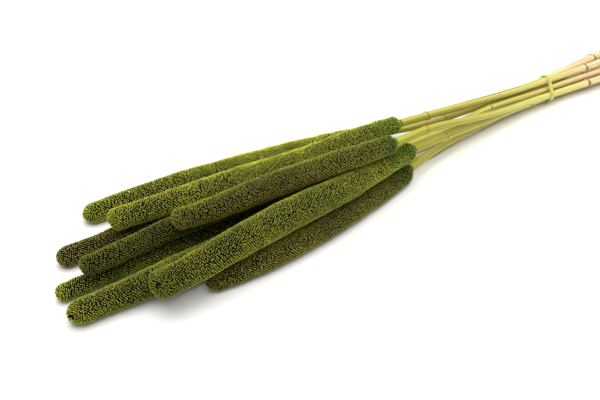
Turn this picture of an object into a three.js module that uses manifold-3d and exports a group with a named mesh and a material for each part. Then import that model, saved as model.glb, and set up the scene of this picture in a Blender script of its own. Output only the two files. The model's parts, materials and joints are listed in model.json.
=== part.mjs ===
// A bunch of nine dried pearl millet stalks, tied once round the stems and lying on a flat surface.
//
// Lengths are millimetres and +Z is up. +X runs from the spikes' tips to the cut ends of the stems.
// The stalks are laid out from the tie, at x = 0, with z = 0 on the surface. Last of all the bunch
// is moved so that its origin is the middle of its footprint.

import * as THREE from 'three';
import { mergeVertices } from 'three/addons/utils/BufferGeometryUtils.js';
import Module from 'manifold-3d';

const wasm = await Module();
wasm.setup();

// Spikes: the seed heads, round in section and widest near the middle.
const SPIKE_SIDES = 12;
const SPIKE_RING_SPACING = 9.5;
const KNOB_DEPTH = 1.5;
const TIP_DOME = 0.95;
const BLUNT_DOME = 0.6;
const BASE_DOME = 0.8;
const PRESSED_IN = 1;

// Stems: straw, a little thicker towards the cut end, with a swollen ring at each node.
const STEM_SIDES = 8;
const STEM_RING_SPACING = 30;
const STEM_RADIUS_AT_SPIKE = 3.5;
const STEM_RADIUS_AT_TIE = 3;
const STEM_RADIUS_AT_CUT = 4.0;
const NODE_SWELL = 0.6;
const NODE_HALF_LENGTH = 4;
const BUTT_GAP = 0.3;

// Tie: one flat band drawn round all nine stems, leaning a little out of square.
const TIE_WIDTH = 4.6;
const TIE_LEAN = 0.35;
const TIE_THICKNESS = 1;
const TIE_CLEARANCE = 0.45;
const TIE_REACH = 7;
const TIE_OUTLINE_STEPS = 16;

// Room that the stalks keep between each other when they settle.
const STATION = 6;
const STALK_GAP = 0.45;
const SETTLE_ROUNDS = 400;
const EASING = [0.25, 0.5, 0.25];

const GREEN = new THREE.MeshStandardMaterial({ color: 0x7f8c3a, roughness: 0.95, metalness: 0 });
const OLIVE = new THREE.MeshStandardMaterial({ color: 0x6e6a34, roughness: 0.95, metalness: 0 });
const BROWN = new THREE.MeshStandardMaterial({ color: 0x5a4526, roughness: 0.95, metalness: 0 });
const STRAW = new THREE.MeshStandardMaterial({ color: 0xd6cd84, roughness: 0.6, metalness: 0 });
const BAND = new THREE.MeshStandardMaterial({ color: 0xd2cb7c, roughness: 0.5, metalness: 0 });

// Each line runs from the spike's tip, through the neck where the stem begins, to the cut end.
// tip and base are the spike's width near its ends, as a share of its fullest width, and
// fullest is how far from the tip that is, as a share of its length. stout is the stem's own
// thickness, against the usual one. A spike that lies is pressed a little flat underneath.
const STALKS = [
  {
    number: 1, finish: OLIVE, radius: 11.2, tip: 0.77, base: 0.8, fullest: 0.5, neck: -192, lies: true,
    stout: 0.95, nodes: [22, 104],
    line: [
      [-416, -51.4, 8.7], [-387, -55.6, 11], [-329, -52.2, 11], [-273, -43.8, 11], [-218, -33, 10],
      [-192, -24.6, 9.8], [-177, -18.6, 9.4], [-150, -13.8, 9.2], [-123, -10.2, 8.2],
      [-101, -7.2, 6.8], [-79, -4.1, 5.2], [-50, 0.5, 3.6], [0, 4.5, 5], [32, 5.6, 4.6],
      [74, 1, 4.3], [150, 0, 4.3],
    ],
  },
  {
    number: 2, finish: GREEN, radius: 12.4, tip: 0.83, base: 0.78, fullest: 0.42, neck: -280, lies: true,
    stout: 0.9, nodes: [-232, 60],
    line: [
      [-519.5, -27, 10], [-493, -28.2, 11], [-460, -30.2, 12], [-402, -28, 12.2], [-374, -26.2, 12],
      [-320, -21, 10.5], [-280, -17, 9.5], [-258, -14, 7.2], [-219, -13.9, 5.2], [-197, -14.8, 4.2],
      [-173, -13.3, 3.8], [-145, -8.6, 3.8], [-119, -4.5, 3.9], [-92, 0, 4], [-50, 6.5, 4.3],
      [0, 11.2, 5], [47, 12.3, 4.8], [83, 10, 4.4], [158, 9, 4.3],
    ],
  },
  {
    number: 3, finish: GREEN, radius: 9.6, tip: 0.84, base: 0.82, fullest: 0.45, neck: -262, lies: true,
    stout: 0.9, nodes: [-90, 112],
    line: [
      [-518, 1, 8.6], [-502, 0, 9.4], [-438, 1.4, 9.5], [-392, 2, 9.4], [-330, 3, 9.3],
      [-262, 3, 8.5], [-240, 3, 7.2], [-184, 1.6, 5.2], [-137, 2, 4.6], [-92, 5.5, 6.5],
      [-50, 7.2, 9.5], [0, 8.1, 10.8], [44, 12, 9.5], [90, 16, 7], [147, 18, 4.5],
    ],
  },
  {
    number: 4, finish: BROWN, radius: 10.3, tip: 0.88, base: 0.85, fullest: 0.45, neck: -247, lies: true,
    stout: 0.9, nodes: [-108, 84],
    line: [
      [-503, 36.6, 8.3], [-488, 34.6, 9], [-466, 35, 9.3], [-421, 35.5, 9.4], [-374, 34.6, 9.4],
      [-327, 31, 9.3], [-280, 27, 9], [-247, 23, 8.5], [-229, 19.8, 8], [-196, 16.3, 6.8],
      [-162, 14.4, 6], [-128, 12.6, 4.8], [-92, 11.6, 4.6], [0, 13.8, 11], [54, 19, 9.5],
      [95, 22, 8.6], [143, 26, 6],
    ],
  },
  {
    number: 5, finish: GREEN, radius: 11.8, tip: 0.8, base: 0.8, fullest: 0.5, neck: -184, lies: true,
    stout: 1.05, nodes: [-118, 76],
    line: [
      [-465, 75, 9.3], [-441, 73, 10.5], [-401, 71.4, 11.5], [-357, 64, 11.8], [-309, 56.4, 11.8],
      [-261, 51, 11.3], [-213, 43.8, 10], [-184, 35.6, 9.4], [-167, 28.5, 8.4], [-155, 24.6, 7.4],
      [-143, 22, 7.8], [-132, 20.6, 8.6], [-116, 18.4, 9.8], [-101, 16, 11.2],
      [-81, 13.4, 11.6], [-59, 11.4, 12.6], [-30, 9.4, 15.6], [0, 8.2, 17.5], [28, 11.1, 17],
      [56, 10.4, 16.4], [85, 12.6, 16], [152, 20, 14],
    ],
  },
  {
    number: 6, finish: GREEN, radius: 13.7, tip: 0.87, base: 0.68, fullest: 0.42, neck: -189,
    blunt: true, dent: 2.5, stout: 1.12, nodes: [-148, -27],
    line: [
      [-460.5, -47.6, 24.5], [-440, -53.6, 27], [-418, -50.8, 29], [-371, -46, 32], [-322, -42, 34],
      [-270, -37.4, 33.4], [-216, -27.6, 31.2], [-189, -22.4, 28.4], [-166, -19.4, 24.8], [-147, -16.9, 22],
      [-127, -14.2, 18.5], [-106, -11.2, 14.9], [-83, -7.9, 11.2], [-61, -5.3, 8.8], [-33, -3.7, 6.8],
      [0, -2.7, 5.8], [16, -3.7, 5.4], [41, -7, 4.9], [64, -9, 4.8], [148, -10, 4.6],
    ],
  },
  {
    number: 7, finish: GREEN, radius: 10.2, tip: 0.84, base: 0.82, fullest: 0.5, neck: -232,
    blunt: true, stout: 1, nodes: [-74, 126],
    line: [
      [-496, -0.8, 25], [-475, -3.4, 27], [-440, -1.4, 28], [-392, -0.4, 28], [-355, -1.8, 28],
      [-317, -3.2, 28], [-270, -4, 26], [-252, -5.2, 24.6], [-228, -7.2, 22.2], [-210, -7.2, 20.5],
      [-191, -5.8, 18.8], [-166, -3.7, 16.5], [-141, -2, 15], [-116, 0.5, 14.6], [-100, 3, 14.8],
      [-81, 4.4, 15], [-59, 2.6, 15], [-30, 0, 14], [0, -1.4, 13], [17, -0.6, 13], [42, -3.4, 12.8],
      [65, -6, 12.6], [156, -4, 12],
    ],
  },
  {
    number: 8, finish: GREEN, radius: 10.9, tip: 0.9, base: 0.8, fullest: 0.45, neck: -173,
    blunt: true, stout: 1.15, nodes: [-143, 50],
    line: [
      [-456.5, 35, 26.6], [-434, 31, 28], [-377, 27, 29], [-327, 22.5, 29], [-280, 17.4, 29],
      [-228, 18.6, 29.4], [-173, 18.6, 25.8], [-161, 18, 24.2], [-139, 16.6, 23], [-116, 14.8, 22.2],
      [-93, 11.7, 21.8], [-59, 6.6, 21.7], [-29, 3.7, 21.8], [0, 1.8, 21.9], [17, 1.7, 21],
      [44, 0.1, 19.5], [68, -1.6, 18.8], [160, 2, 18.4],
    ],
  },
  {
    number: 9, finish: OLIVE, radius: 11.1, tip: 0.85, base: 0.8, fullest: 0.42, neck: -215,
    blunt: true, stout: 1.1, nodes: [-175.5, 44],
    line: [
      [-420.5, -8, 41], [-404, -13, 43], [-371, -15.6, 45.6], [-327, -19.5, 48], [-289.5, -23.9, 49.3],
      [-243, -30.3, 51.3], [-209, -27.9, 47.9], [-192, -22.4, 45.6], [-173, -19.2, 42.4], [-153, -16.9, 36.9],
      [-134, -15.6, 31.3], [-113, -13.6, 26.3], [-93, -12.7, 22], [-72, -10.3, 17.7], [-50, -8.4, 14.4],
      [-37, -8.2, 13.2], [0, -8.2, 10.4], [35, -10.6, 9.6], [58, -13, 9.4], [153, -17, 9],
    ],
  },
];

const { lerp, smoothstep, clamp } = THREE.MathUtils;

function endOf(stalk) {
  return stalk.line.at(-1)[0];
}

function tipOf(stalk) {
  return stalk.line[0][0];
}

// How full a rounded end is, a given distance in from its point.
function dome(distance, depth) {
  const share = clamp(distance / depth, 0, 1);
  return Math.sqrt(1 - (1 - share) ** 2);
}

// How far the rounding of the spike's tip reaches in. A blunt tip is rounded only at its edge.
function tipDepthOf(stalk) {
  return (stalk.blunt ? BLUNT_DOME : TIP_DOME) * stalk.radius;
}

// The spike's radius at x: a long spindle with a dome at each end.
function spikeRadius(stalk, x) {
  const length = stalk.neck - tipOf(stalk);
  const share = (x - tipOf(stalk)) / length;
  const swelling = share < stalk.fullest
    ? lerp(stalk.tip, 1, smoothstep(share, 0, stalk.fullest))
    : lerp(1, stalk.base, smoothstep(share, stalk.fullest, 1));
  const tipDome = dome(x - tipOf(stalk), tipDepthOf(stalk));
  const baseDome = dome(stalk.neck - x, BASE_DOME * stalk.radius);
  return stalk.radius * swelling * tipDome * baseDome;
}

// The stem's radius at x, with a ring at each node.
function stemRadius(stalk, x) {
  const straw = x < 0
    ? lerp(STEM_RADIUS_AT_TIE, STEM_RADIUS_AT_SPIKE, clamp(x / stalk.neck, 0, 1))
    : lerp(STEM_RADIUS_AT_TIE, STEM_RADIUS_AT_CUT, x / endOf(stalk));
  const swell = stalk.nodes.map((node) => 1 - Math.abs(x - node) / NODE_HALF_LENGTH);
  return stalk.stout * straw + NODE_SWELL * Math.max(0, ...swell);
}

function radiusAt(stalk, x) {
  return x < stalk.neck ? spikeRadius(stalk, x) : stemRadius(stalk, clamp(x, stalk.neck, endOf(stalk)));
}

// How far the stalk reaches out from its line near x, so that no knob or node is missed.
function reachAt(stalk, x) {
  const near = [-1, -0.5, 0, 0.5, 1].map((step) => x + step * STATION);
  return Math.max(STEM_RADIUS_AT_TIE, ...near.map((place) => radiusAt(stalk, place)));
}

// One place along the stalk for every station, read from a smooth curve through its line.
function stationsOf(stalk) {
  const curve = new THREE.CatmullRomCurve3(stalk.line.map((point) => new THREE.Vector3(...point)));
  const fine = curve.getPoints(40 * stalk.line.length);
  const first = Math.floor(tipOf(stalk) / STATION);
  const last = Math.ceil(endOf(stalk) / STATION);
  const places = new Map();
  let k = 0;
  for (let i = first; i <= last; i++) {
    const x = clamp(i * STATION, tipOf(stalk), endOf(stalk));
    while (k < fine.length - 2 && fine[k + 1].x < x) k++;
    const share = (x - fine[k].x) / (fine[k + 1].x - fine[k].x);
    const place = fine[k].clone().lerp(fine[k + 1], share);
    places.set(i, { y: place.y, z: place.z, reach: reachAt(stalk, x) });
  }
  return places;
}

// Parts two places of one station, if their circles are closer than the gap.
function partPair(a, b) {
  const apart = a.reach + b.reach + STALK_GAP;
  const dy = b.y - a.y;
  const dz = b.z - a.z;
  const distance = Math.hypot(dy, dz);
  if (distance >= apart) return;
  const push = (apart - distance) / 2 / distance;
  a.y -= dy * push;
  a.z -= dz * push;
  b.y += dy * push;
  b.z += dz * push;
}

// Evens out the stalk's line, so that it bends and doesn't kink where it was pushed.
function easeLine(places) {
  const before = new Map([...places].map(([i, place]) => [i, { y: place.y, z: place.z }]));
  for (const [i, place] of places) {
    const around = [before.get(i - 1), before.get(i), before.get(i + 1)];
    if (!around[0] || !around[2]) continue;
    place.y = around.reduce((sum, near, k) => sum + EASING[k] * near.y, 0);
    place.z = around.reduce((sum, near, k) => sum + EASING[k] * near.z, 0);
  }
}

// Lets the stalks part where they would run through each other or through the surface.
function settle(stalks) {
  const all = stalks.map(stationsOf);
  for (let round = 0; round < SETTLE_ROUNDS; round++) {
    if (round % 10 === 0 && round < SETTLE_ROUNDS / 2) all.forEach(easeLine);
    all.forEach((places, a) => {
      all.slice(a + 1).forEach((others) => {
        for (const [i, place] of places) {
          if (others.has(i)) partPair(place, others.get(i));
        }
      });
      for (const [i, place] of places) {
        const onSpike = i * STATION < stalks[a].neck;
        if (onSpike && stalks[a].lies) place.z = place.reach - PRESSED_IN;
        else place.z = Math.max(place.z, place.reach);
      }
    });
  }
  return all;
}

function placeAt(places, x) {
  const i = Math.floor(x / STATION);
  const near = places.get(i);
  const far = places.get(i + 1) ?? near;
  const share = x / STATION - i;
  return { y: lerp(near.y, far.y, share), z: lerp(near.z, far.z, share) };
}

// Bends a straight lathed shape, whose axis is X, onto the stalk's own line.
function bend(geometry, places) {
  const position = geometry.attributes.position;
  for (let k = 0; k < position.count; k++) {
    const place = placeAt(places, position.getX(k));
    position.setY(k, position.getY(k) + place.y);
    position.setZ(k, position.getZ(k) + place.z);
  }
  return geometry;
}

// A closed solid of revolution about X, from its profile of [x, radius] pairs.
function lathe(profile, sides) {
  const points = profile.map(([x, radius]) => new THREE.Vector2(radius, x));
  const geometry = new THREE.LatheGeometry(points, sides).rotateZ(-Math.PI / 2);
  geometry.deleteAttribute('normal');
  geometry.deleteAttribute('uv');
  return mergeVertices(geometry, 1e-4);
}

function evenly(from, to, spacing) {
  const count = Math.max(1, Math.round((to - from) / spacing));
  return Array.from({ length: count + 1 }, (_, i) => lerp(from, to, i / count));
}

// Sinks every other point of the spike's skin, ring by ring, so that it is covered in knobs.
function raiseKnobs(geometry, stalk, rings) {
  const position = geometry.attributes.position;
  for (let k = 0; k < position.count; k++) {
    const ring = rings.findIndex((x) => Math.abs(x - position.getX(k)) < 1e-3);
    const radius = Math.hypot(position.getY(k), position.getZ(k));
    if (ring < 1 || ring > rings.length - 2 || radius < stalk.radius / 2) continue;
    const angle = Math.atan2(position.getZ(k), position.getY(k));
    const side = Math.round(angle / (2 * Math.PI / SPIKE_SIDES));
    if ((ring + side) % 2 === 0) continue;
    const scale = 1 - KNOB_DEPTH / radius;
    position.setY(k, position.getY(k) * scale);
    position.setZ(k, position.getZ(k) * scale);
  }
  return geometry;
}

// Cuts off flat what lies below the surface that the bunch rests on.
function restFlat(geometry) {
  geometry.computeBoundingBox();
  const box = geometry.boundingBox;
  if (box.min.z >= 0) return geometry;
  const room = box.getSize(new THREE.Vector3()).addScalar(20);
  const above = new THREE.BoxGeometry(room.x, room.y, 2 * room.z);
  above.translate((box.min.x + box.max.x) / 2, (box.min.y + box.max.y) / 2, room.z);
  return toGeometry(toSolid(geometry).intersect(toSolid(above)));
}

function toSolid(geometry) {
  const bare = geometry.clone();
  bare.deleteAttribute('normal');
  bare.deleteAttribute('uv');
  const merged = mergeVertices(bare, 1e-4);
  return new wasm.Manifold(new wasm.Mesh({
    numProp: 3,
    vertProperties: new Float32Array(merged.attributes.position.array),
    triVerts: new Uint32Array(merged.index.array),
  }));
}

function toGeometry(solid) {
  const mesh = solid.getMesh();
  const geometry = new THREE.BufferGeometry();
  geometry.setAttribute('position', new THREE.BufferAttribute(mesh.vertProperties, 3));
  geometry.setIndex(new THREE.BufferAttribute(mesh.triVerts, 1));
  return geometry;
}

function makeSpike(stalk, places) {
  const tip = tipOf(stalk);
  const tipDepth = tipDepthOf(stalk);
  const baseDepth = BASE_DOME * stalk.radius;
  const rings = [
    tip + 0.08 * tipDepth,
    ...evenly(tip + 0.4 * tipDepth, stalk.neck - 0.5 * baseDepth, SPIKE_RING_SPACING),
    stalk.neck - 0.06 * baseDepth,
  ];
  const ends = [tip + (stalk.dent ?? 0), stalk.neck];
  const profile = [[ends[0], 0], ...rings.map((x) => [x, spikeRadius(stalk, x)]), [ends[1], 0]];
  const solid = bend(raiseKnobs(lathe(profile, SPIKE_SIDES), stalk, rings), places);
  return restFlat(solid);
}

function makeStem(stalk, places) {
  const start = stalk.neck + BUTT_GAP;
  const end = endOf(stalk);
  const kept = [...stalk.nodes, 0];
  const clear = (x) => kept.every((place) => Math.abs(x - place) > 2 * NODE_HALF_LENGTH);
  const rings = [
    start,
    ...evenly(start, end, STEM_RING_SPACING).slice(1, -1).filter(clear),
    ...stalk.nodes.flatMap((node) => [node - NODE_HALF_LENGTH, node, node + NODE_HALF_LENGTH]),
    -TIE_REACH,
    TIE_REACH,
    end,
  ].sort((a, b) => a - b);
  const profile = [[start, 0], ...rings.map((x) => [x, stemRadius(stalk, x)]), [end, 0]];
  return bend(lathe(profile, STEM_SIDES), places);
}

// The outline of a cord drawn tight round the stems where the tie is, a given way out from them.
function outlineRoundStems(stalks, all, way) {
  const points = [];
  stalks.forEach((stalk, k) => {
    for (const x of [-TIE_REACH, TIE_REACH]) {
      const place = placeAt(all[k], x);
      for (let step = 0; step < TIE_OUTLINE_STEPS; step++) {
        const angle = 2 * Math.PI * step / TIE_OUTLINE_STEPS;
        const radius = stemRadius(stalk, x) + way;
        const outward = new THREE.Vector2(Math.cos(angle), Math.sin(angle)).multiplyScalar(radius);
        points.push(outward.add(new THREE.Vector2(place.y, place.z)));
      }
    }
  });
  return hullOf(points);
}

// The convex outline of a set of points, anticlockwise.
function hullOf(points) {
  const sorted = [...points].sort((a, b) => a.x - b.x || a.y - b.y);
  const half = (list) => list.reduce((chain, point) => {
    while (chain.length > 1 && turn(chain.at(-2), chain.at(-1), point) <= 0) chain.pop();
    return [...chain, point];
  }, []);
  return [...half(sorted).slice(0, -1), ...half(sorted.reverse()).slice(0, -1)];
}

function turn(a, b, c) {
  return (b.x - a.x) * (c.y - a.y) - (b.y - a.y) * (c.x - a.x);
}

function makeTie(stalks, all) {
  const shape = new THREE.Shape(outlineRoundStems(stalks, all, TIE_CLEARANCE + TIE_THICKNESS));
  shape.holes.push(new THREE.Path(outlineRoundStems(stalks, all, TIE_CLEARANCE)));
  const band = new THREE.ExtrudeGeometry(shape, { depth: TIE_WIDTH, bevelEnabled: false });
  const axes = new THREE.Matrix4().makeBasis(
    new THREE.Vector3(0, 1, 0),
    new THREE.Vector3(0, 0, 1),
    new THREE.Vector3(1, 0, 0),
  );
  band.applyMatrix4(axes);
  band.computeBoundingBox();
  const middle = band.boundingBox.getCenter(new THREE.Vector3());
  const lean = new THREE.Matrix4().makeShear(0, 0, TIE_LEAN, 0, 0, 0);
  return band.translate(-middle.x, -middle.y, 0).applyMatrix4(lean).translate(0, middle.y, 0);
}

function named(name, geometry, material) {
  const mesh = new THREE.Mesh(geometry, material);
  mesh.name = name;
  return mesh;
}

function makeBunch() {
  const all = settle(STALKS);
  const bunch = new THREE.Group();
  STALKS.forEach((stalk, k) => {
    bunch.add(named(`spike_${stalk.number}`, makeSpike(stalk, all[k]), stalk.finish));
    bunch.add(named(`stem_${stalk.number}`, makeStem(stalk, all[k]), STRAW));
  });
  bunch.add(named('tie', makeTie(STALKS, all), BAND));
  const middle = new THREE.Box3().setFromObject(bunch, true).getCenter(new THREE.Vector3());
  bunch.position.set(-middle.x, -middle.y, 0);
  return bunch;
}

const part = new THREE.Group();
part.add(makeBunch());

export default part;
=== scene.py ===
import json
import math

import bpy
import numpy as np
from bpy.props import FloatProperty, FloatVectorProperty, IntProperty, PointerProperty
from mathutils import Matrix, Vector


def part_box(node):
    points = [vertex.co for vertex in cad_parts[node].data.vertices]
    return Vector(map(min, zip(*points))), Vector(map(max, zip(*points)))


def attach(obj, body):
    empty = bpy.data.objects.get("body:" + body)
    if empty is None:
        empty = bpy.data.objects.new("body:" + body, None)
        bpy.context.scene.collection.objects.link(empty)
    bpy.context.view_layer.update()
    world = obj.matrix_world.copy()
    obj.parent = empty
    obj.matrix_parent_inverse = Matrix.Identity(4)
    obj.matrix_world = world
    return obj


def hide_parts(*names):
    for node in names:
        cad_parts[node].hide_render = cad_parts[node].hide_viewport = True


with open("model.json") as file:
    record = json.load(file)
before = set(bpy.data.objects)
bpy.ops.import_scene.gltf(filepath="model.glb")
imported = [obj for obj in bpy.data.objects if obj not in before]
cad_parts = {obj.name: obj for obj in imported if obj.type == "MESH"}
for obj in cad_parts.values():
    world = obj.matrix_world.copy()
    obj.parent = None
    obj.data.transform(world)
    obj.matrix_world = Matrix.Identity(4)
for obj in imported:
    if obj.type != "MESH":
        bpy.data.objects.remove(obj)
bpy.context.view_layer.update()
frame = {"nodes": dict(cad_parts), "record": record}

bl_info = {
    "name": "Pearl Millet Bunch",
    "version": (1, 0, 0),
    "blender": (4, 5, 0),
    "location": "View3D > Sidebar > Millet",
    "description": "Dresses a tied bunch of dried pearl millet stalks: seed spikes, straw stems and tie",
    "category": "Add Mesh",
}

BODY = "root"
MM = 0.001

SPIKES = sorted(name for name in frame["nodes"] if name.startswith("spike_"))
STEMS = sorted(name for name in frame["nodes"] if name.startswith("stem_"))
SLOTS = {row["node"]: row["material_slot"] for row in frame["record"]["subparts"]}

# How the solids are drawn: rings of corners in planes across X, a few of them in each dome.
RING_GAP = 0.02 * MM
FEWEST_IN_RING = 8
DOME_RINGS = 2
TIP_DOME = 0.95
BLUNT_DOME = 0.6
BLUNT_SPIKES = {"spike_6", "spike_7", "spike_8", "spike_9"}
BASE_DOME = 0.8
NODE_RISE = 0.3 * MM

# How far the corners between the rings are rounded off, and from how many places.
SPIKE_SMOOTHING = 6 * MM
STEM_SMOOTHING = 8 * MM
SMOOTHING_STEPS = 7

# A face that points up or down by more than this is an end of a cylinder.
END_FACING = 0.9

GOLDEN_ANGLE = math.pi * (3 - math.sqrt(5))
HEX_PACKING = math.sqrt(3) / 2
TABLE_CLEARANCE = 0.1 * MM


def linear(red, green, blue):
    """A colour given as it looks on screen, from 0 to 255, in the linear values that Blender uses."""
    shown = [value / 255 for value in (red, green, blue)]
    return tuple(v / 12.92 if v <= 0.04045 else ((v + 0.055) / 1.055) ** 2.4 for v in shown)


def colour_property(name, description, shown):
    return FloatVectorProperty(
        name=name, description=description, subtype="COLOR", size=3, min=0, max=1,
        default=linear(*shown),
    )


def length_property(name, description, millimetres):
    return FloatProperty(
        name=name, description=description, unit="LENGTH", subtype="DISTANCE",
        default=millimetres * MM, min=0,
    )


class MilletSpikeSettings(bpy.types.PropertyGroup):
    """Sizes and colours of the seed spikes."""

    pitch: length_property("Bud spacing", "Distance from one seed bud to the next", 1.94)
    length: length_property("Bud length", "How far a bud stands out of the spike's core", 4.8)
    width: length_property("Bud width", "Width of a bud at its thickest", 1.37)
    core_depth: length_property("Core depth", "How far below the bud tips the core lies", 4.0)
    lump: length_property("Lump height", "How uneven a spike's skin is", 0.25)
    lean: FloatProperty(
        name="Lean", description="How much the buds lean towards the spike's tip", default=0.1,
    )
    parting: FloatProperty(
        name="Parting", description="How much patches of buds lean apart from each other", default=0.19,
    )
    astray: FloatProperty(
        name="Astray", description="How much each bud leans its own way", default=0.075,
    )
    seed: IntProperty(name="Seed", description="Start of the random spread of the buds", default=7)
    # Painted shade: the near-black gap colour, at the foot of every bud and on the core, stands for the
    # shade between the buds.
    gap: colour_property("Gap", "Depth of the gaps between the buds", (6, 8, 2))
    # The tip colours are partly the buds' own pale tips and partly a painted highlight.
    green_side: colour_property("Green side", "Sides of the buds of a green spike", (110, 119, 4))
    green_tip: colour_property("Green tip", "Tips of the buds of a green spike", (208, 212, 100))
    olive_side: colour_property("Olive side", "Sides of the buds of an olive spike", (108, 108, 6))
    olive_tip: colour_property("Olive tip", "Tips of the buds of an olive spike", (212, 204, 106))
    brown_side: colour_property("Brown side", "Sides of the buds of a brown spike", (72, 68, 8))
    brown_tip: colour_property("Brown tip", "Tips of the buds of a brown spike", (166, 158, 92))


class MilletStemSettings(bpy.types.PropertyGroup):
    """Sizes and colours of the straw stems."""

    sides: IntProperty(name="Sides", description="Sides of a stem's section", default=20, min=8)
    step: length_property("Step", "Distance between the stem's rings, away from its nodes", 4.0)
    fine_step: length_property("Fine step", "Distance between the rings close to a node", 0.7)
    collar: length_property("Collar", "How far a node's collar stands proud", 0.28)
    # By the spike the straw is its own green-yellow, darkened partly as painted shade where the stems
    # lie among the spikes.
    by_spike: colour_property("By the spike", "Straw just below the spike", (180, 178, 60))
    by_tie: colour_property("By the tie", "Straw at the tie", (228, 220, 134))
    by_cut: colour_property("By the cut", "Straw at the cut end", (245, 224, 186))
    node: colour_property("Node", "Dark line round a node", (104, 78, 34))
    pith: colour_property("Pith", "Soft middle of the cut end", (240, 230, 200))


class MilletTieSettings(bpy.types.PropertyGroup):
    """Sizes and colour of the doubled tie."""

    width: length_property("Strand width", "Width of one strand of the tie", 2.0)
    thickness: length_property("Strand thickness", "Thickness of one strand of the tie", 1.0)
    spread: length_property("Spread", "Half the distance between the two strands", 1.1)
    colour: colour_property("Colour", "Colour of the tie", (216, 208, 118))


class MilletStageSettings(bpy.types.PropertyGroup):
    """Floor, light and camera."""

    floor: colour_property("Floor", "Colour of the floor", (244, 244, 243))
    key: FloatProperty(name="Key light", description="Power of the main light", default=106, min=0)
    fill: FloatProperty(name="Fill light", description="Power of the weak front light", default=1, min=0)
    sky: FloatProperty(name="Sky", description="Strength of the light all round", default=0.3, min=0)
    lens: FloatProperty(name="Lens", description="Focal length in millimetres", default=54, min=1)


def select_only(piece):
    """Leaves one object selected and active, so that an operator acts on nothing else."""
    bpy.ops.object.select_all(action="DESELECT")
    piece.select_set(True)
    bpy.context.view_layer.objects.active = piece


def new_piece(name):
    """The primitive that was just added, selected alone and under its own name."""
    piece = bpy.context.object
    select_only(piece)
    piece.name = name
    piece.data.name = name
    return piece


def corners_of(piece):
    """The places of a mesh's vertices, as rows of x, y and z."""
    places = np.empty(len(piece.data.vertices) * 3)
    piece.data.vertices.foreach_get("co", places)
    return places.reshape(-1, 3)


def put_corners(piece, places):
    piece.data.vertices.foreach_set("co", np.asarray(places, np.float32).ravel())
    piece.data.update()


def triangles_of(piece):
    """A triangulated mesh's faces, as rows of three vertex numbers."""
    faces = np.empty(len(piece.data.loops), np.int64)
    piece.data.loops.foreach_get("vertex_index", faces)
    return faces.reshape(-1, 3)


def discard(piece):
    mesh = piece.data
    bpy.data.objects.remove(piece)
    bpy.data.meshes.remove(mesh)


def paint(piece, name, values):
    """Keeps up to four numbers for every vertex in a colour attribute."""
    rows = np.ones((len(piece.data.vertices), 4), np.float32)
    rows[:, :values.shape[1]] = values
    layer = piece.data.color_attributes.new(name, "FLOAT_COLOR", "POINT")
    layer.data.foreach_set("color", rows.ravel())


def finish_piece(piece, node, material):
    """Gives a finished piece its material and the body that it rides on, and hides its CAD node."""
    piece.data.materials.clear()
    piece.data.materials.append(material)
    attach(piece, BODY)
    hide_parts(node)


def rings_of(node):
    """A solid's rings from tip to cut end, as arrays of x, middle y, middle z and radius."""
    corners = corners_of(frame["nodes"][node])
    corners = corners[np.argsort(corners[:, 0])]
    starts = np.flatnonzero(np.diff(corners[:, 0]) > RING_GAP) + 1
    rows = []
    for ring in np.split(corners, starts):
        ring = np.unique(np.round(ring, 6), axis=0)
        if len(ring) < FEWEST_IN_RING:
            continue
        far, near = ring[:, 1].max(), ring[:, 1].min()
        at_side = (ring[:, 1] > far - RING_GAP) | (ring[:, 1] < near + RING_GAP)
        y, z = (far + near) / 2, ring[at_side, 2].mean()
        radius = np.hypot(ring[:, 1] - y, ring[:, 2] - z).max()
        rows.append((ring[:, 0].mean(), y, z, radius))
    return np.array(rows).T


def smooth_line(x, rings, reach):
    """A ring value at each x, with the corners between the rings rounded off over a reach."""
    places, values = rings
    shifts = np.linspace(-reach, reach, SMOOTHING_STEPS)
    return np.mean([np.interp(x + shift, places, values) for shift in shifts], axis=0)


def node_places(node):
    """Where a stem's nodes are: the rings that stand out from both their neighbours."""
    x, _, _, radius = rings_of(node)
    rise = radius[1:-1] - np.maximum(radius[:-2], radius[2:])
    return x[1:-1][rise > NODE_RISE]


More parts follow.
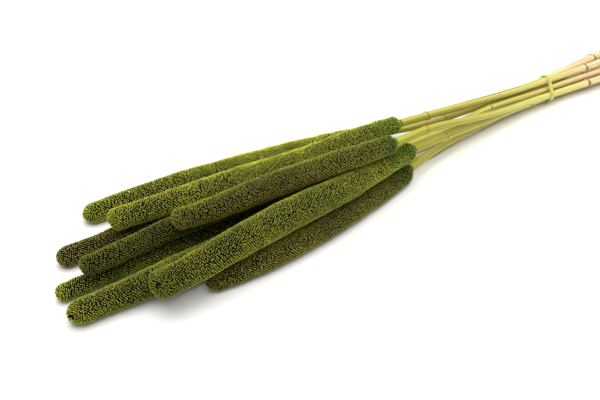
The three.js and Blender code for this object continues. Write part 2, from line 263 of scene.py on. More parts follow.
class SpikeForm:
    """The skin of one spike: its line, its radius with both rounded ends, and its area."""

    STEPS = 900

    def __init__(self, node):
        low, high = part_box(node)
        self.tip, self.base = low.x, high.x
        self.rings = rings_of(node)
        self.tip_dome = BLUNT_DOME if node in BLUNT_SPIKES else TIP_DOME
        self.widest = self.rings[3].max()
        turn = np.linspace(0, math.pi, self.STEPS)
        self.x = self.tip + (self.base - self.tip) * (1 - np.cos(turn)) / 2
        self.radius = self.radius_at(self.x)
        steps = np.hypot(np.diff(self.x), np.diff(self.radius))
        around = math.pi * (self.radius[1:] + self.radius[:-1])
        self.area = np.r_[0, np.cumsum(steps * around)]
        self.length = np.r_[0, np.cumsum(steps)]

    def radius_at(self, x):
        body = self.rings[:, DOME_RINGS:-DOME_RINGS]
        straight = smooth_line(x, (body[0], body[3]), SPIKE_SMOOTHING)
        from_tip = np.clip((x - self.tip) / (self.tip_dome * self.widest), 0, 1)
        from_base = np.clip((self.base - x) / (BASE_DOME * self.widest), 0, 1)
        return straight * np.sqrt(1 - (1 - from_tip) ** 2) * np.sqrt(1 - (1 - from_base) ** 2)

    def middle_at(self, x):
        """The line's y and z at each x."""
        lines = [smooth_line(x, (self.rings[0], self.rings[row]), SPIKE_SMOOTHING) for row in (1, 2)]
        return np.stack(lines, 1)

    def along_at(self, x):
        """The unit direction of the line at each x."""
        slope = (self.middle_at(x + MM) - self.middle_at(x - MM)) / (2 * MM)
        along = np.c_[np.ones(len(x)), slope]
        return along / np.linalg.norm(along, axis=1, keepdims=True)

    def place(self, x, angle):
        """One place on the skin, at an x and an angle."""
        around = self.radius_at(np.array([x]))[0] * np.array([math.cos(angle), math.sin(angle)])
        return np.r_[x, self.middle_at(np.array([x]))[0] + around]

    def skin(self, area, angle):
        """Places on the skin, and the way it faces there, for an area from the tip and an angle."""
        x = np.interp(area, self.area, self.x)
        radius = np.interp(area, self.area, self.radius)
        rise = np.gradient(self.radius, self.length)
        run = np.gradient(self.x, self.length)
        rise = np.interp(area, self.area, rise)[:, None]
        run = np.interp(area, self.area, run)[:, None]
        around = np.c_[np.zeros(len(x)), np.cos(angle), np.sin(angle)]
        places = np.c_[x, self.middle_at(x)] + around * radius[:, None]
        along = self.along_at(x)
        out = around - along * np.sum(around * along, axis=1, keepdims=True)
        facing = out * run - along * rise
        return places, facing / np.linalg.norm(facing, axis=1, keepdims=True), along


# A bud is a slender club: a foot that comes to a point, a full shoulder and a blunt rounded top.
BUD_SIDES = 5
BUD_FOOT = 0.5
BUD_SHOULDER = (0.72, 1.0)
BUD_BROW = (0.93, 0.62)


def model_bud():
    """One bud, one unit tall and one unit in radius, returned as its corners and triangles."""
    bpy.ops.object.select_all(action="DESELECT")
    height, full = BUD_SHOULDER
    bpy.ops.mesh.primitive_cylinder_add(
        vertices=BUD_SIDES, radius=BUD_FOOT, depth=height, location=(0, 0, height / 2),
    )
    bud = new_piece("bud")
    bpy.ops.object.transform_apply(location=True, rotation=True, scale=True)
    bpy.ops.object.mode_set(mode="EDIT")
    bpy.ops.mesh.select_mode(type="FACE")
    bpy.ops.mesh.select_all(action="DESELECT")
    bpy.ops.object.mode_set(mode="OBJECT")
    for face in bud.data.polygons:
        face.select = face.normal.z < -END_FACING
    bpy.ops.object.mode_set(mode="EDIT")
    bpy.ops.mesh.merge(type="CENTER")
    bpy.ops.object.mode_set(mode="OBJECT")
    for face in bud.data.polygons:
        face.select = face.normal.z > END_FACING
    bpy.ops.object.mode_set(mode="EDIT")
    bpy.ops.transform.resize(value=(full / BUD_FOOT, full / BUD_FOOT, 1))
    brow_height, brow = BUD_BROW
    bpy.ops.mesh.extrude_region_move(TRANSFORM_OT_translate={"value": (0, 0, brow_height - height)})
    bpy.ops.transform.resize(value=(brow / full, brow / full, 1))
    bpy.ops.mesh.extrude_region_move(TRANSFORM_OT_translate={"value": (0, 0, 1 - brow_height)})
    bpy.ops.mesh.merge(type="CENTER")
    bpy.ops.mesh.select_all(action="SELECT")
    bpy.ops.mesh.quads_convert_to_tris()
    bpy.ops.object.mode_set(mode="OBJECT")
    corners, triangles = corners_of(bud), triangles_of(bud)
    discard(bud)
    return corners, triangles


# Hollows in a spike's skin: how far from its tip, at which angle round it, and how wide.
HOLLOWS = {
    "spike_2": [(2.2 * MM, 2.5, 2.1 * MM)],
    "spike_6": [(2.5 * MM, 2.3, 2.5 * MM), (166.5 * MM, 1.74, 1.5 * MM)],
}
RIM_LEAN = 0.55

# How far the buds stray from an even spread, as a share of their spacing, how much they twist and
# sink, and the least and greatest share of a full length and width.
JITTER = 0.12
TWIST = 0.4
SUNK = 0.2 * MM
LENGTHS = (0.92, 1.05)
WIDTHS = (0.8, 1.12)

# The waves that make a spike's skin uneven: their number, how many radians each goes through in a
# metre, how often it goes round the spike, and how far they may lift a bud or sink it.
RIPPLES = 10
RIPPLE_WAVES = (60, 380)
RIPPLE_TURNS = (-3, 4)
LUMP_RANGE = (-0.3, 2)

CORE_SIDES = 20
CORE_RINGS = 48

# How strongly each spike is coloured at its tip and at its base: partly how strongly it took the dye,
# and partly painted light and shade, lighter on spikes that lie in the open and darker on spikes
# shadowed by others.
DYES_AND_SHADE = {
    "spike_1": (0.7, 0.8),
    "spike_2": (0.8, 0.3),
    "spike_3": (1.0, 0.4),
    "spike_4": (1.2, 0.4),
    "spike_5": (1.0, 1.7),
    "spike_6": (0.6, 1.1),
    "spike_7": (0.4, 0.4),
    "spike_8": (1.1, 1.4),
    "spike_9": (0.6, 0.8),
}

# How much darker and greener a spike gets to its base, as changes of its red, green and blue.
BASE_START = 0.8
BASE_TINT = np.array([[-0.46, -0.22, -0.3]])


def ripples(x, angle, chance):
    """A smooth random unevenness over a spike's skin, mostly between -1 and 1."""
    total = np.zeros(len(x))
    for _ in range(RIPPLES):
        waves, turns = chance.uniform(*RIPPLE_WAVES), chance.integers(*RIPPLE_TURNS)
        total += np.sin(waves * x + turns * angle + chance.uniform(0, 2 * math.pi))
    return total / math.sqrt(RIPPLES)


def rim_push(places, hollow, width):
    """Which places lie inside a hollow, and how those round its rim are pushed away from it."""
    away = places - hollow
    distance = np.linalg.norm(away, axis=1, keepdims=True)
    push = np.clip(2 - distance / width, 0, 1)
    return distance[:, 0] < width, RIM_LEAN * push * away / np.maximum(distance, MM)


def bud_ways(facing, along, settings, fields, chance):
    """The way that every bud points: outward, with a lean that drifts from patch to patch."""
    sideways = np.cross(along, facing)
    drift = settings.parting * fields
    way = facing + along * (drift[0] - settings.lean)[:, None] + sideways * drift[1][:, None]
    return way + chance.normal(0, settings.astray, facing.shape)


def bud_axes(way, along, chance):
    """Three unit directions for every bud: two across it, turned at random, and one along it."""
    way = way / np.linalg.norm(way, axis=1, keepdims=True)
    across = np.cross(way, along + chance.normal(0, TWIST, along.shape))
    across /= np.linalg.norm(across, axis=1, keepdims=True)
    return across, np.cross(way, across), way


def core_of(form, depth):
    """The spike's core below the buds: a sphere drawn out along the spike, as corners and triangles. It
    later takes the near-black painted gap shade, so the gaps between the buds show dark.
    """
    bpy.ops.object.select_all(action="DESELECT")
    bpy.ops.mesh.primitive_uv_sphere_add(segments=CORE_SIDES, ring_count=CORE_RINGS, radius=1)
    core = new_piece("core")
    bpy.ops.object.mode_set(mode="EDIT")
    bpy.ops.mesh.select_all(action="SELECT")
    bpy.ops.mesh.quads_convert_to_tris()
    bpy.ops.object.mode_set(mode="OBJECT")
    unit, triangles = corners_of(core), triangles_of(core)
    discard(core)
    share = np.arccos(np.clip(-unit[:, 2], -1, 1)) / math.pi
    length = form.length[-1] * share
    x = np.interp(length, form.length, form.x)
    x = np.clip(x, form.tip + depth, form.base - depth / 2)
    radius = np.maximum(np.interp(length, form.length, form.radius) - depth, 0)
    angle = np.arctan2(unit[:, 1], unit[:, 0])
    around = np.c_[np.zeros(len(x)), np.cos(angle), np.sin(angle)]
    return np.c_[x, form.middle_at(x)] + around * radius[:, None], triangles


def spread_buds(form, settings, chance):
    """Golden-angle spirals over a spike's skin, a little shaken: each bud's area and angle."""
    count = int(form.area[-1] / (settings.pitch ** 2 * HEX_PACKING))
    turn = np.arange(count)
    stray = JITTER * settings.pitch
    area = (turn + 0.5) / count * form.area[-1]
    angle = turn * GOLDEN_ANGLE + chance.normal(0, stray / form.widest, count)
    area = area + chance.normal(0, stray, count) * form.widest * 2 * math.pi
    return np.clip(area, 0, form.area[-1]), angle


def stand_buds(node, form, settings, chance):
    """Where a spike's bud tips are, the three directions of each bud, and how deep it is sunk."""
    area, angle = spread_buds(form, settings, chance)
    places, facing, along = form.skin(area, angle)
    fields = np.stack([ripples(places[:, 0], angle, chance) for _ in range(3)])
    way = bud_ways(facing, along, settings, fields, chance)
    kept = np.ones(len(places), bool)
    for from_tip, at_angle, width in HOLLOWS.get(node, []):
        inside, push = rim_push(places, form.place(form.tip + from_tip, at_angle), width)
        kept &= ~inside
        way += push
    axes = bud_axes(way[kept], along[kept], chance)
    sunk = np.abs(chance.normal(0, SUNK, kept.sum()))
    sunk += settings.lump * np.clip(0.5 + fields[2][kept], *LUMP_RANGE)
    return places[kept], axes, sunk


def bud_meshes(bud, places, axes, sunk, settings, chance):
    """A copy of the bud at every place: the corners and triangles of all of them."""
    corners, triangles = bud
    count = len(places)
    across, beside, way = (axis[:, None, :] for axis in axes)
    length = settings.length * chance.uniform(*LENGTHS, count)[:, None, None]
    half = settings.width / 2 * chance.uniform(*WIDTHS, count)[:, None, None]
    rows = (
        places[:, None, :] - way * sunk[:, None, None]
        + way * (corners[None, :, 2:] - 1) * length
        + across * corners[None, :, :1] * half
        + beside * corners[None, :, 1:2] * half
    )
    faces = triangles[None] + (np.arange(count) * len(corners))[:, None, None]
    return rows.reshape(-1, 3), faces.reshape(-1, 3)


def paint_spike(piece, node, form, bud_corners, count, chance):
    """Keeps each bud's height and two random tones, and a strength along the spike that is partly its
    dye and partly painted light and shade.
    """
    rows = corners_of(piece)
    shade = np.zeros((len(rows), 3))
    body = count * len(bud_corners)
    # The core's corners keep a height of nought, so they take the painted gap shade.
    shade[:body, 0] = np.tile(bud_corners[:, 2], count)
    for channel in (1, 2):
        shade[:body, channel] = np.repeat(chance.uniform(0, 1, count), len(bud_corners))
    paint(piece, "bud", shade)
    share = (rows[:, :1] - form.tip) / (form.base - form.tip)
    # Darker and greener towards the spike's base.
    darker_to_base = 1 + np.interp(share, (BASE_START, 1), (0, 1)) * BASE_TINT
    paint(piece, "dye", np.interp(share, (0, 1), DYES_AND_SHADE[node]) * darker_to_base)


def make_spike(node, bud, settings, material):
    """One spike: buds in spirals over its skin, standing on a core that is painted near black as shade
    between the buds.
    """
    form = SpikeForm(node)
    chance = np.random.default_rng(settings.seed + int(node.split("_")[1]))
    places, axes, sunk = stand_buds(node, form, settings, chance)
    rows, faces = bud_meshes(bud, places, axes, sunk, settings, chance)
    core, core_faces = core_of(form, settings.core_depth)
    faces = np.r_[faces, core_faces + len(rows)]
    rows = np.r_[rows, core]
    rows[:, 2] = np.maximum(rows[:, 2], TABLE_CLEARANCE)
    mesh = bpy.data.meshes.new(node + "_buds")
    mesh.from_pydata(rows, [], faces)
    piece = bpy.data.objects.new(node + "_buds", mesh)
    bpy.context.scene.collection.objects.link(piece)
    select_only(piece)
    bpy.ops.object.shade_smooth()
    paint_spike(piece, node, form, bud[0], len(places), chance)
    finish_piece(piece, node, material)


# A stem's marks: the dark collar line of a node, which is torn and wider beyond the tie, and the
# finer line a little above it.
COLLAR_HALF = 0.7 * MM
TORN_HALF = 1.5 * MM
SECOND_LINE = 6.5 * MM
SECOND_SHARE = 0.4
NODE_REACH = 9 * MM

# A stem is a little thinner than its solid, and a little fluted: the number of waves round it, how
# far they turn from stem to stem, and their depth.
SLACK = 0.985
FLUTES = ((3, 1, 0.012), (7, 2, 0.008))

# The cut end is ragged, with two rims round the pith, which is sunk in.
CUT_RIMS = (0.22, 0.3)
PITH_EDGE = 0.9
PITH_BLEND = 0.3
PITH_DEPTH = 0.6 * MM
RAGGED = 0.35 * MM

# Edges sharper than this stay sharp, and this number spreads the tones of the stems.
SHARP_EDGE = math.radians(50)
TONE_STEP = 12.9898


def stem_stations(node, settings):
    """The places of a stem's rings along X, close together at its nodes."""
    low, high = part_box(node)
    plain = np.arange(low.x, high.x - settings.step / 2, settings.step)
    fine = [np.arange(x - NODE_REACH, x + NODE_REACH, settings.fine_step) for x in node_places(node)]
    stations = np.sort(np.concatenate([plain, [high.x], *fine]))
    stations = stations[(stations >= low.x) & (stations <= high.x)]
    kept = np.r_[True, np.diff(stations) > settings.fine_step / 2]
    kept[-1] = True
    return stations[kept]


def bell(distance, half):
    return np.exp(-(distance / half) ** 2)


def collar_at(node, x):
    """How strongly a node's dark lines mark the stem at each x, from 0 to 1."""
    mark = np.zeros(len(x))
    for place in node_places(node):
        half = COLLAR_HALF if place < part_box("tie")[0].x else TORN_HALF
        mark = np.maximum(mark, bell(x - place, half))
        mark = np.maximum(mark, SECOND_SHARE * bell(x - place - SECOND_LINE, COLLAR_HALF / 2))
    return mark


def add_rod(sides, rings):
    """A rod along Z from 0 to 1 with a number of rings, and its ends set in twice for the cut."""
    bpy.ops.object.select_all(action="DESELECT")
    bpy.ops.mesh.primitive_cylinder_add(
        vertices=sides, radius=1, depth=1, location=(0, 0, 0.5), end_fill_type="NGON",
    )
    rod = new_piece("rod")
    bpy.ops.object.transform_apply(location=True, rotation=True, scale=True)
    bpy.ops.object.mode_set(mode="EDIT")
    bpy.ops.mesh.select_mode(type="EDGE")
    bpy.ops.mesh.select_all(action="DESELECT")
    bpy.ops.object.mode_set(mode="OBJECT")
    heights = corners_of(rod)[:, 2]
    for edge in rod.data.edges:
        start, end = edge.vertices
        edge.select = abs(heights[start] - heights[end]) > 0.5
    bpy.ops.object.mode_set(mode="EDIT")
    bpy.ops.mesh.subdivide(number_cuts=rings - 2)
    bpy.ops.mesh.select_mode(type="FACE")
    bpy.ops.mesh.select_all(action="DESELECT")
    bpy.ops.object.mode_set(mode="OBJECT")
    for face in rod.data.polygons:
        face.select = abs(face.normal.z) > END_FACING
    bpy.ops.object.mode_set(mode="EDIT")
    for rim in CUT_RIMS:
        bpy.ops.mesh.inset(thickness=rim, use_individual=True)
    bpy.ops.mesh.poke()
    bpy.ops.object.mode_set(mode="OBJECT")
    return rod


def flute(angle, number):
    """How a stem's section swells and shrinks round it, different for every stem."""
    return 1 + sum(depth * np.sin(waves * angle + turn * number) for waves, turn, depth in FLUTES)


def shape_stem(rod, node, stations, settings):
    """Draws a rod along a stem's line, and returns its collar marks, its pith and its grain."""
    unit = corners_of(rod)
    last = len(stations) - 1
    share = np.clip(unit[:, 2], 0, 1) * last
    x = np.interp(share, np.arange(len(stations)), stations)
    rings = rings_of(node)
    middle = np.stack([smooth_line(x, (rings[0], rings[row]), STEM_SMOOTHING) for row in (1, 2)], 1)
    reach = np.interp(x, rings[0], rings[3])
    mark = collar_at(node, x)
    inward = np.hypot(unit[:, 0], unit[:, 1])
    angle = np.arctan2(unit[:, 1], unit[:, 0])
    number = int(node.split("_")[1])
    radius = (reach * flute(angle, number) * SLACK + settings.collar * (mark - 0.5)) * inward
    at_cut = share > last - 0.5
    pith = np.where(at_cut, np.clip((PITH_EDGE - inward) / PITH_BLEND, 0, 1), 0)
    ragged = np.where(at_cut, RAGGED * (1 + np.sin(2 * angle + number)), 0)
    around = np.c_[np.zeros(len(x)), np.cos(angle), np.sin(angle)]
    places = np.c_[x - PITH_DEPTH * pith - ragged, middle] + around * radius[:, None]
    places[:, 2] = np.maximum(places[:, 2], TABLE_CLEARANCE)
    put_corners(rod, places)
    return mark, pith, np.stack([np.cos(angle) * reach, np.sin(angle) * reach, x], 1)


def turn_outward(piece):
    """Makes all of a piece's faces point outwards."""
    select_only(piece)
    bpy.ops.object.mode_set(mode="EDIT")
    bpy.ops.mesh.select_all(action="SELECT")
    bpy.ops.mesh.normals_make_consistent(inside=False)
    bpy.ops.object.mode_set(mode="OBJECT")


def make_stem(node, settings, material):
    """One stem: a rod drawn along the stem's line, with collars at its nodes and a cut end."""
    stations = stem_stations(node, settings)
    rod = add_rod(settings.sides, len(stations))
    rod.name = rod.data.name = node + "_straw"
    mark, pith, grain = shape_stem(rod, node, stations, settings)
    turn_outward(rod)
    bpy.ops.object.shade_smooth_by_angle(angle=SHARP_EDGE)
    tone = math.sin(TONE_STEP * int(node.split("_")[1])) * 0.5 + 0.5
    paint(rod, "marks", np.stack([mark, pith, np.full(len(mark), tone)], 1))
    layer = rod.data.attributes.new("grain", "FLOAT_VECTOR", "POINT")
    layer.data.foreach_set("vector", np.asarray(grain, np.float32).ravel())
    finish_piece(rod, node, material)


# The doubled tie crosses itself once, where it is hidden behind and below the stems.
CROSSING = math.radians(-50)
CROSSING_SHARE = 0.75
OUTLINE_STEPS = 120
WALLS = 360
LEAST_SLANT = 0.2

# A strand's rings and sides, how flat its section is, and how far it lies in the solid and rises
# to cross, as shares of its thickness.
STRAND_RINGS = 240
STRAND_SIDES = 12
FLATNESS = 0.7
STRAND_DEPTH = 0.76
CROSSING_RISE = 0.4


def tie_outline(count):
    """Places on the outside of the tie's solid, at even angles round its middle."""
    corners = corners_of(frame["nodes"]["tie"])
    low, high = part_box("tie")
    middle = np.array([(low.y + high.y) / 2, (low.z + high.z) / 2])
    lean, start = np.polyfit(corners[:, 1], corners[:, 0], 1)
    turn = np.linspace(0, 2 * math.pi, WALLS, endpoint=False)
    facing = np.stack([np.cos(turn), np.sin(turn)], 1)
    walls = ((corners[:, 1:] - middle) @ facing.T).max(axis=0)
    angles = np.linspace(0, 2 * math.pi, count, endpoint=False)
    ways = np.stack([np.cos(angles), np.sin(angles)], 1)
    slant = ways @ facing.T
    far = walls / np.maximum(slant, LEAST_SLANT)
    reach = np.where(slant > LEAST_SLANT, far, 1).min(axis=1)
    places = middle + ways * reach[:, None]
    return np.c_[start + lean * places[:, 0], places]


def squarish(value):
    """Makes a round section's sine or cosine flatter, for a band's section."""
    return np.sign(value) * np.abs(value) ** FLATNESS


def make_tie(settings, material):
    """The tie: a ring twice as long as the way round, doubled, so two flat strands lie side by side."""
    bpy.ops.object.select_all(action="DESELECT")
    bpy.ops.mesh.primitive_torus_add(
        major_segments=STRAND_RINGS, minor_segments=STRAND_SIDES, major_radius=1, minor_radius=0.25,
    )
    tie = new_piece("tie_strand")
    unit = corners_of(tie)
    round_way = np.arctan2(unit[:, 1], unit[:, 0])
    inner = np.arctan2(unit[:, 2], np.hypot(unit[:, 0], unit[:, 1]) - 1)
    twice = 2 * round_way + CROSSING
    outline = tie_outline(OUTLINE_STEPS)
    at = (twice % (2 * math.pi)) / (2 * math.pi) * OUTLINE_STEPS
    looped = np.r_[outline, outline[:1]]
    path = np.stack([np.interp(at, np.arange(len(looped)), looped[:, k]) for k in range(3)], 1)
    apart = np.sin(round_way)
    over = np.cos(round_way) * np.clip(1 - np.abs(apart) / CROSSING_SHARE, 0, 1)
    wide = settings.spread * apart + settings.width / 2 * squarish(np.sin(inner))
    high = settings.thickness * (squarish(np.cos(inner)) / 2 + CROSSING_RISE * over - STRAND_DEPTH)
    out = np.c_[np.zeros(len(twice)), np.cos(twice), np.sin(twice)]
    put_corners(tie, path + out * high[:, None] + np.array([[1.0, 0, 0]]) * wide[:, None])
    turn_outward(tie)
    bpy.ops.object.shade_smooth()
    finish_piece(tie, "tie", material)


class Nodes:
    """A short way to build a material's nodes: each call adds one and links what it is given."""

    def __init__(self, name):
        self.material = bpy.data.materials.new(name)
        self.material.use_nodes = True
        self.tree = self.material.node_tree
        self.shader = self.tree.nodes["Principled BSDF"]

    def add(self, kind, values=None, **settings):
        node = self.tree.nodes.new(kind)
        for key, value in settings.items():
            setattr(node, key, value)
        for socket, value in (values or {}).items():
            self.link(value, node.inputs[socket])
        return node

    def link(self, value, socket):
        if isinstance(value, bpy.types.NodeSocket):
            self.tree.links.new(value, socket)
        else:
            socket.default_value = value

    def attribute(self, name, output="Color"):
        return self.add("ShaderNodeAttribute", attribute_name=name).outputs[output]

    def channels(self, name):
        split = self.add("ShaderNodeSeparateColor", {"Color": self.attribute(name)})
        return split.outputs["Red"], split.outputs["Green"], split.outputs["Blue"]

    def math(self, operation, first, second):
        node = self.add("ShaderNodeMath", operation=operation)
        self.link(first, node.inputs[0])
        self.link(second, node.inputs[1])
        return node.outputs[0]

    def mix(self, share, first, second, blend="MIX"):
        node = self.add("ShaderNodeMix", data_type="RGBA", blend_type=blend)
        self.link(share, node.inputs["Factor"])
        for value, socket in ((first, node.inputs[6]), (second, node.inputs[7])):
            self.link(value if isinstance(value, bpy.types.NodeSocket) else (*value, 1), socket)
        return node.outputs[2]

    def ramp(self, share, stops):
        node = self.add("ShaderNodeValToRGB", {"Fac": share})
        elements = node.color_ramp.elements
        while len(elements) < len(stops):
            elements.new(0.5)
        for element, (place, colour) in zip(elements, stops):
            element.position = place
            element.color = (*colour, 1)
        return node.outputs["Color"]

    def span(self, value, low, high, to_low=0.0, to_high=1.0):
        node = self.add("ShaderNodeMapRange")
        for socket, number in zip(range(5), (value, low, high, to_low, to_high)):
            self.link(number, node.inputs[socket])
        return node.outputs[0]

    def noise(self, vector, scale, detail=2.0, roughness=0.5):
        values = {"Vector": vector, "Scale": scale, "Detail": detail, "Roughness": roughness}
        return self.add("ShaderNodeTexNoise", values).outputs["Fac"]

    def object_place(self):
        return self.add("ShaderNodeTexCoord").outputs["Object"]

    def stretched(self, vector, scale):
        return self.add("ShaderNodeMapping", {"Vector": vector, "Scale": scale}).outputs[0]

    def bump(self, height, strength, distance):
        values = {"Height": height, "Strength": strength, "Distance": distance}
        self.link(self.add("ShaderNodeBump", values).outputs[0], self.shader.inputs["Normal"])


# How far up a bud its colours lie: the end of the painted gap shade, the lower side, which is darkened
# with painted shade, the full side from one height to another, and the tip.
BUD_HEIGHTS = (0.7, 0.8, 0.89, 0.93, 0.965)
LOWER_SIDE = 0.45
GAP_TO_SIDE = (0.72, 0.86)
SIDE_TO_TIP = (1.0, 0.9)

# Patches of a spike are yellower, and one bud in five is browner.
PATCH_SCALE = 26.0
YELLOWER = (0.88, 0.87, 0.2)
YELLOW_SHARE = 0.5
BROWNER = 0.5
BROWN_SHARE = 0.55
BROWN_BUDS = (0.8, 1.0)
BUD_BRIGHTNESS = (0.8, 1.6)
BUD_GRAIN = 1600.0


def bud_colour(nodes, rise, kind, settings):
    """The colour up a bud, with yellower patches on its side: painted shade low down, and a pale tip
    that is partly its own colour and partly a painted highlight.
    """
    side, tip = (tuple(getattr(settings, kind + part)) for part in ("_side", "_tip"))
    gap = tuple(settings.gap)
    shaded_lower_side = tuple(LOWER_SIDE * a + (1 - LOWER_SIDE) * b for a, b in zip(side, gap))
    # The ramp paints shade at the bud's foot and on its lower side, and a tip that is partly a painted
    # highlight.
    colour = nodes.ramp(rise, list(zip((0.0, *BUD_HEIGHTS), (gap, gap, shaded_lower_side, side, side, tip))))
    patches = nodes.span(nodes.noise(nodes.object_place(), PATCH_SCALE, 3.0), 0.35, 0.65)
    yellow = tuple(min(1, value * share) for value, share in zip(tip, YELLOWER))
    amount = nodes.math("MULTIPLY", patches, YELLOW_SHARE)
    on_side = nodes.math("MULTIPLY", nodes.span(rise, *GAP_TO_SIDE), nodes.span(rise, *SIDE_TO_TIP))
    return nodes.mix(nodes.math("MULTIPLY", amount, on_side), colour, yellow)


def spike_material(slot, settings):
    """Dry seed buds: painted shade in the gaps, coloured on their sides, and pale at their tips, partly
    their own colour and partly a painted highlight.
    """
    nodes = Nodes(slot)
    rise, tone, other = nodes.channels("bud")
    colour = bud_colour(nodes, rise, slot.split("_")[0], settings)
    browned = nodes.math("MULTIPLY", nodes.span(tone, *BROWN_BUDS), BROWN_SHARE)
    browned = nodes.math("MULTIPLY", browned, nodes.span(rise, *GAP_TO_SIDE))
    colour = nodes.mix(browned, colour, tuple(BROWNER * value for value in settings.brown_tip))
    # Multiplies in each spike's strength, which is partly dye and partly painted light and shade.
    colour = nodes.mix(1.0, colour, nodes.attribute("dye"), "MULTIPLY")
    bright = nodes.span(other, 0.0, 1.0, *BUD_BRIGHTNESS)
    level = nodes.add("ShaderNodeCombineXYZ", {"X": bright, "Y": bright, "Z": bright}).outputs[0]
    colour = nodes.mix(1.0, colour, level, "MULTIPLY")
    nodes.link(colour, nodes.shader.inputs["Base Color"])
    nodes.link(nodes.span(rise, 0.3, 1.0, 0.95, 0.62), nodes.shader.inputs["Roughness"])
    nodes.shader.inputs["Specular IOR Level"].default_value = 0.3
    nodes.bump(nodes.noise(nodes.object_place(), BUD_GRAIN, 2.0), 0.25, 0.2 * MM)
    return nodes.material


# How far before and beyond the tie the straw changes colour, how much this differs by stem, and
# where between the two its colours lie.
GREEN_REACH = 0.19
PALE_REACH = 0.1
STEM_SHIFT = 0.02
STRAW_PLACES = (0.0, 0.66, 0.85, 1.0)

# How fine the straw's marks are, across a stem twice and along it, and what they darken it by.
FIBRE_SCALE = (1300.0, 1300.0, 9.0)
STREAK_SCALE = (420.0, 420.0, 7.0)
SPECK_SCALE = (900.0, 900.0, 160.0)
TORN_SCALE = (520.0, 520.0, 380.0)
FIBRE_SHADE = linear(200, 184, 128)
STREAK_SHADE = linear(180, 176, 92)


def straw_colour(nodes, tone, settings):
    """The colour along a stem: green-yellow by the spike, darkened there partly as painted shade, and
    pale beyond the tie.
    """
    place = nodes.add("ShaderNodeSeparateXYZ", {"Vector": nodes.object_place()}).outputs["X"]
    low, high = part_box("tie")
    tie_x = (low.x + high.x) / 2
    shifted = nodes.math("ADD", place, nodes.span(tone, 0.0, 1.0, -STEM_SHIFT, STEM_SHIFT))
    share = nodes.span(shifted, tie_x - GREEN_REACH, tie_x + PALE_REACH)
    by_spike, by_tie, by_cut = (tuple(c) for c in (settings.by_spike, settings.by_tie, settings.by_cut))
    return nodes.ramp(share, list(zip(STRAW_PLACES, (by_spike, by_tie, by_cut, by_cut))))


def stem_material(settings):
    """Straw: green-yellow by the spikes, pale beyond the tie, with long fibres and dark nodes."""
    nodes = Nodes("straw")
    mark, pith, tone = nodes.channels("marks")
    grain = nodes.attribute("grain", "Vector")
    colour = straw_colour(nodes, tone, settings)
    fibres = nodes.noise(nodes.stretched(grain, FIBRE_SCALE), 1.0, 3.0, 0.6)
    darker = nodes.mix(1.0, colour, FIBRE_SHADE, "MULTIPLY")
    colour = nodes.mix(nodes.span(fibres, 0.42, 0.72), colour, darker)
    streaks = nodes.noise(nodes.stretched(grain, STREAK_SCALE), 1.0, 2.0)
    olive = nodes.mix(1.0, colour, STREAK_SHADE, "MULTIPLY")
    colour = nodes.mix(nodes.span(streaks, 0.52, 0.75), colour, olive)
    specks = nodes.noise(nodes.stretched(grain, SPECK_SCALE), 1.0, 1.0)
    colour = nodes.mix(nodes.span(specks, 0.7, 0.78, 0.0, 0.5), colour, tuple(settings.node))
    torn = nodes.noise(nodes.stretched(grain, TORN_SCALE), 1.0, 2.0)
    edge = nodes.math("MULTIPLY", mark, nodes.span(torn, 0.35, 0.6, 0.35, 1.1))
    colour = nodes.mix(nodes.span(edge, 0.15, 0.7, 0.0, 0.9), colour, tuple(settings.node))
    colour = nodes.mix(nodes.span(pith, 0.3, 0.8), colour, tuple(settings.pith))
    nodes.link(colour, nodes.shader.inputs["Base Color"])
    nodes.link(nodes.span(fibres, 0.3, 0.7, 0.5, 0.72), nodes.shader.inputs["Roughness"])
    nodes.bump(fibres, 0.35, 0.25 * MM)
    return nodes.material


TIE_SHADE = linear(190, 180, 88)


def tie_material(settings):
    """A smooth, narrow band with a slight unevenness."""
    nodes = Nodes("tie")
    place = nodes.object_place()
    soft = nodes.noise(place, 240.0, 2.0)
    colour = nodes.mix(nodes.span(soft, 0.35, 0.7), tuple(settings.colour), TIE_SHADE)
    nodes.link(colour, nodes.shader.inputs["Base Color"])
    nodes.link(nodes.span(soft, 0.3, 0.7, 0.4, 0.55), nodes.shader.inputs["Roughness"])
    nodes.bump(nodes.noise(place, 900.0, 2.0), 0.2, 0.2 * MM)
    return nodes.material


class MILLET_OT_spikes(bpy.types.Operator):
    """Cover each spike's solid with seed buds"""

    bl_idname = "millet.spikes"
    bl_label = "Add Spikes"

    def execute(self, context):
        settings = context.scene.millet_spikes
        bud = model_bud()
        materials = {slot: spike_material(slot, settings) for slot in sorted({SLOTS[n] for n in SPIKES})}
        for node in SPIKES:
            make_spike(node, bud, settings, materials[SLOTS[node]])
        return {"FINISHED"}


class MILLET_OT_stems(bpy.types.Operator):
    """Draw each stem as straw with nodes and a cut end"""

    bl_idname = "millet.stems"
    bl_label = "Add Stems"

    def execute(self, context):
        settings = context.scene.millet_stems
        material = stem_material(settings)
        for node in STEMS:
            make_stem(node, settings, material)
        return {"FINISHED"}


class MILLET_OT_tie(bpy.types.Operator):
    """Wind the tie twice round the stems"""

    bl_idname = "millet.tie"
    bl_label = "Add Tie"

    def execute(self, context):
        settings = context.scene.millet_tie
        make_tie(settings, tie_material(settings))
        return {"FINISHED"}


# The camera stands off from the tie, and looks along this heading and down by this much.
HEADING = math.radians(-33)
LOOK_DOWN = math.radians(40)
TIE_DISTANCE = 0.9
TIE_PIXEL = (547.5, 88.0)
PICTURE = (600, 400)
SENSOR = 36.0

# The point of the tie that the pixel names, from the middle of the tie's footprint.
TIE_ANCHOR = Vector((0, -2.634 * MM, 13 * MM))


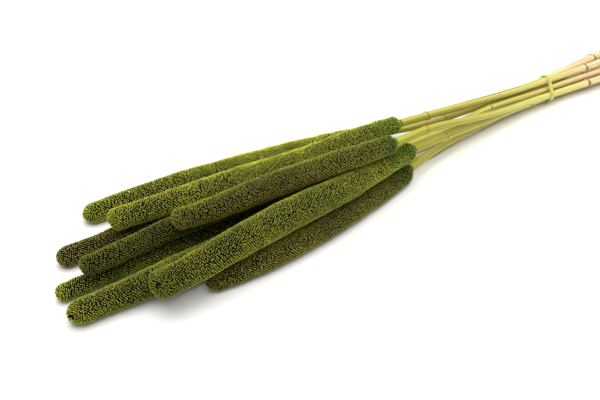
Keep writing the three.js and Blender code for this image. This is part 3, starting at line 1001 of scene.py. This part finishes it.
def add_camera(settings):
    """A camera at the photograph's angle, placed so that the tie falls on its own pixel."""
    right = Vector((math.cos(HEADING), math.sin(HEADING), 0))
    ahead = Vector((
        -math.sin(HEADING) * math.cos(LOOK_DOWN),
        math.cos(HEADING) * math.cos(LOOK_DOWN),
        -math.sin(LOOK_DOWN),
    ))
    above = right.cross(ahead)
    pixels = settings.lens / SENSOR * PICTURE[0]
    across = (TIE_PIXEL[0] - PICTURE[0] / 2) / pixels
    down = (TIE_PIXEL[1] - PICTURE[1] / 2) / pixels
    low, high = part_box("tie")
    target = Vector(((low.x + high.x) / 2, (low.y + high.y) / 2, 0)) + TIE_ANCHOR
    place = target - TIE_DISTANCE * (ahead + across * right - down * above)
    bpy.ops.object.camera_add(location=place)
    camera = bpy.context.object
    camera.name = "photo_camera"
    camera.rotation_euler = ahead.to_track_quat("-Z", "Y").to_euler()
    camera.data.lens = settings.lens
    camera.data.sensor_width = SENSOR
    bpy.context.scene.camera = camera


# The floor's size, the place that both lights face, and where they stand, in metres.
LIGHT_TARGET = (-0.05, 0, 0)
KEY_PLACE = (0.1, 0.12, 2.25)
KEY_SIZE = 3.8
KEY_COLOUR = (1, 0.99, 0.96)
FILL_PLACE = (-0.9, -1.3, 0.9)
FILL_SIZE = 1.2
FILL_COLOUR = (0.97, 0.98, 1)
FLOOR_SIZE = 30


def add_light(name, place, size, power, colour):
    bpy.ops.object.light_add(type="AREA", location=place)
    light = bpy.context.object
    light.name = name
    way = Vector(LIGHT_TARGET) - Vector(place)
    light.rotation_euler = way.to_track_quat("-Z", "Y").to_euler()
    light.data.shape = "DISK"
    light.data.size = size
    light.data.energy = power
    light.data.color = colour


def add_floor(settings):
    bpy.ops.object.select_all(action="DESELECT")
    bpy.ops.mesh.primitive_plane_add(size=FLOOR_SIZE)
    floor = new_piece("floor")
    nodes = Nodes("floor")
    nodes.shader.inputs["Base Color"].default_value = (*settings.floor, 1)
    nodes.shader.inputs["Roughness"].default_value = 0.9
    nodes.shader.inputs["Specular IOR Level"].default_value = 0.1
    floor.data.materials.append(nodes.material)


def add_sky(settings):
    world = bpy.data.worlds.new("studio")
    world.use_nodes = True
    background = world.node_tree.nodes["Background"]
    background.inputs["Color"].default_value = (1, 1, 1, 1)
    background.inputs["Strength"].default_value = settings.sky
    bpy.context.scene.world = world


class MILLET_OT_stage(bpy.types.Operator):
    """Set up the pale floor, the soft light and the camera"""

    bl_idname = "millet.stage"
    bl_label = "Add Stage"

    def execute(self, context):
        settings = context.scene.millet_stage
        add_camera(settings)
        add_floor(settings)
        add_sky(settings)
        add_light("key", KEY_PLACE, KEY_SIZE, settings.key, KEY_COLOUR)
        add_light("fill", FILL_PLACE, FILL_SIZE, settings.fill, FILL_COLOUR)
        context.scene.view_settings.view_transform = "Standard"
        return {"FINISHED"}


class MILLET_PT_panel(bpy.types.Panel):
    """Lists the bunch's settings and the steps that build it"""

    bl_label = "Pearl Millet Bunch"
    bl_idname = "MILLET_PT_panel"
    bl_space_type = "VIEW_3D"
    bl_region_type = "UI"
    bl_category = "Millet"

    def draw(self, context):
        for operator, group in STEPS:
            box = self.layout.box()
            settings = getattr(context.scene, group)
            for name in settings.__annotations__:
                box.prop(settings, name)
            box.operator(operator.bl_idname)


STEPS = (
    (MILLET_OT_stage, "millet_stage"),
    (MILLET_OT_spikes, "millet_spikes"),
    (MILLET_OT_stems, "millet_stems"),
    (MILLET_OT_tie, "millet_tie"),
)
GROUPS = {
    "millet_stage": MilletStageSettings,
    "millet_spikes": MilletSpikeSettings,
    "millet_stems": MilletStemSettings,
    "millet_tie": MilletTieSettings,
}


def register():
    for name, group in GROUPS.items():
        bpy.utils.register_class(group)
        setattr(bpy.types.Scene, name, PointerProperty(type=group))
    for operator, _ in STEPS:
        bpy.utils.register_class(operator)
    bpy.utils.register_class(MILLET_PT_panel)


def unregister():
    bpy.utils.unregister_class(MILLET_PT_panel)
    for operator, _ in reversed(STEPS):
        bpy.utils.unregister_class(operator)
    for name, group in reversed(GROUPS.items()):
        delattr(bpy.types.Scene, name)
        bpy.utils.unregister_class(group)


def main():
    register()
    bpy.ops.millet.stage()
    bpy.ops.millet.spikes()
    bpy.ops.millet.stems()
    bpy.ops.millet.tie()


if __name__ == "__main__":
    main()
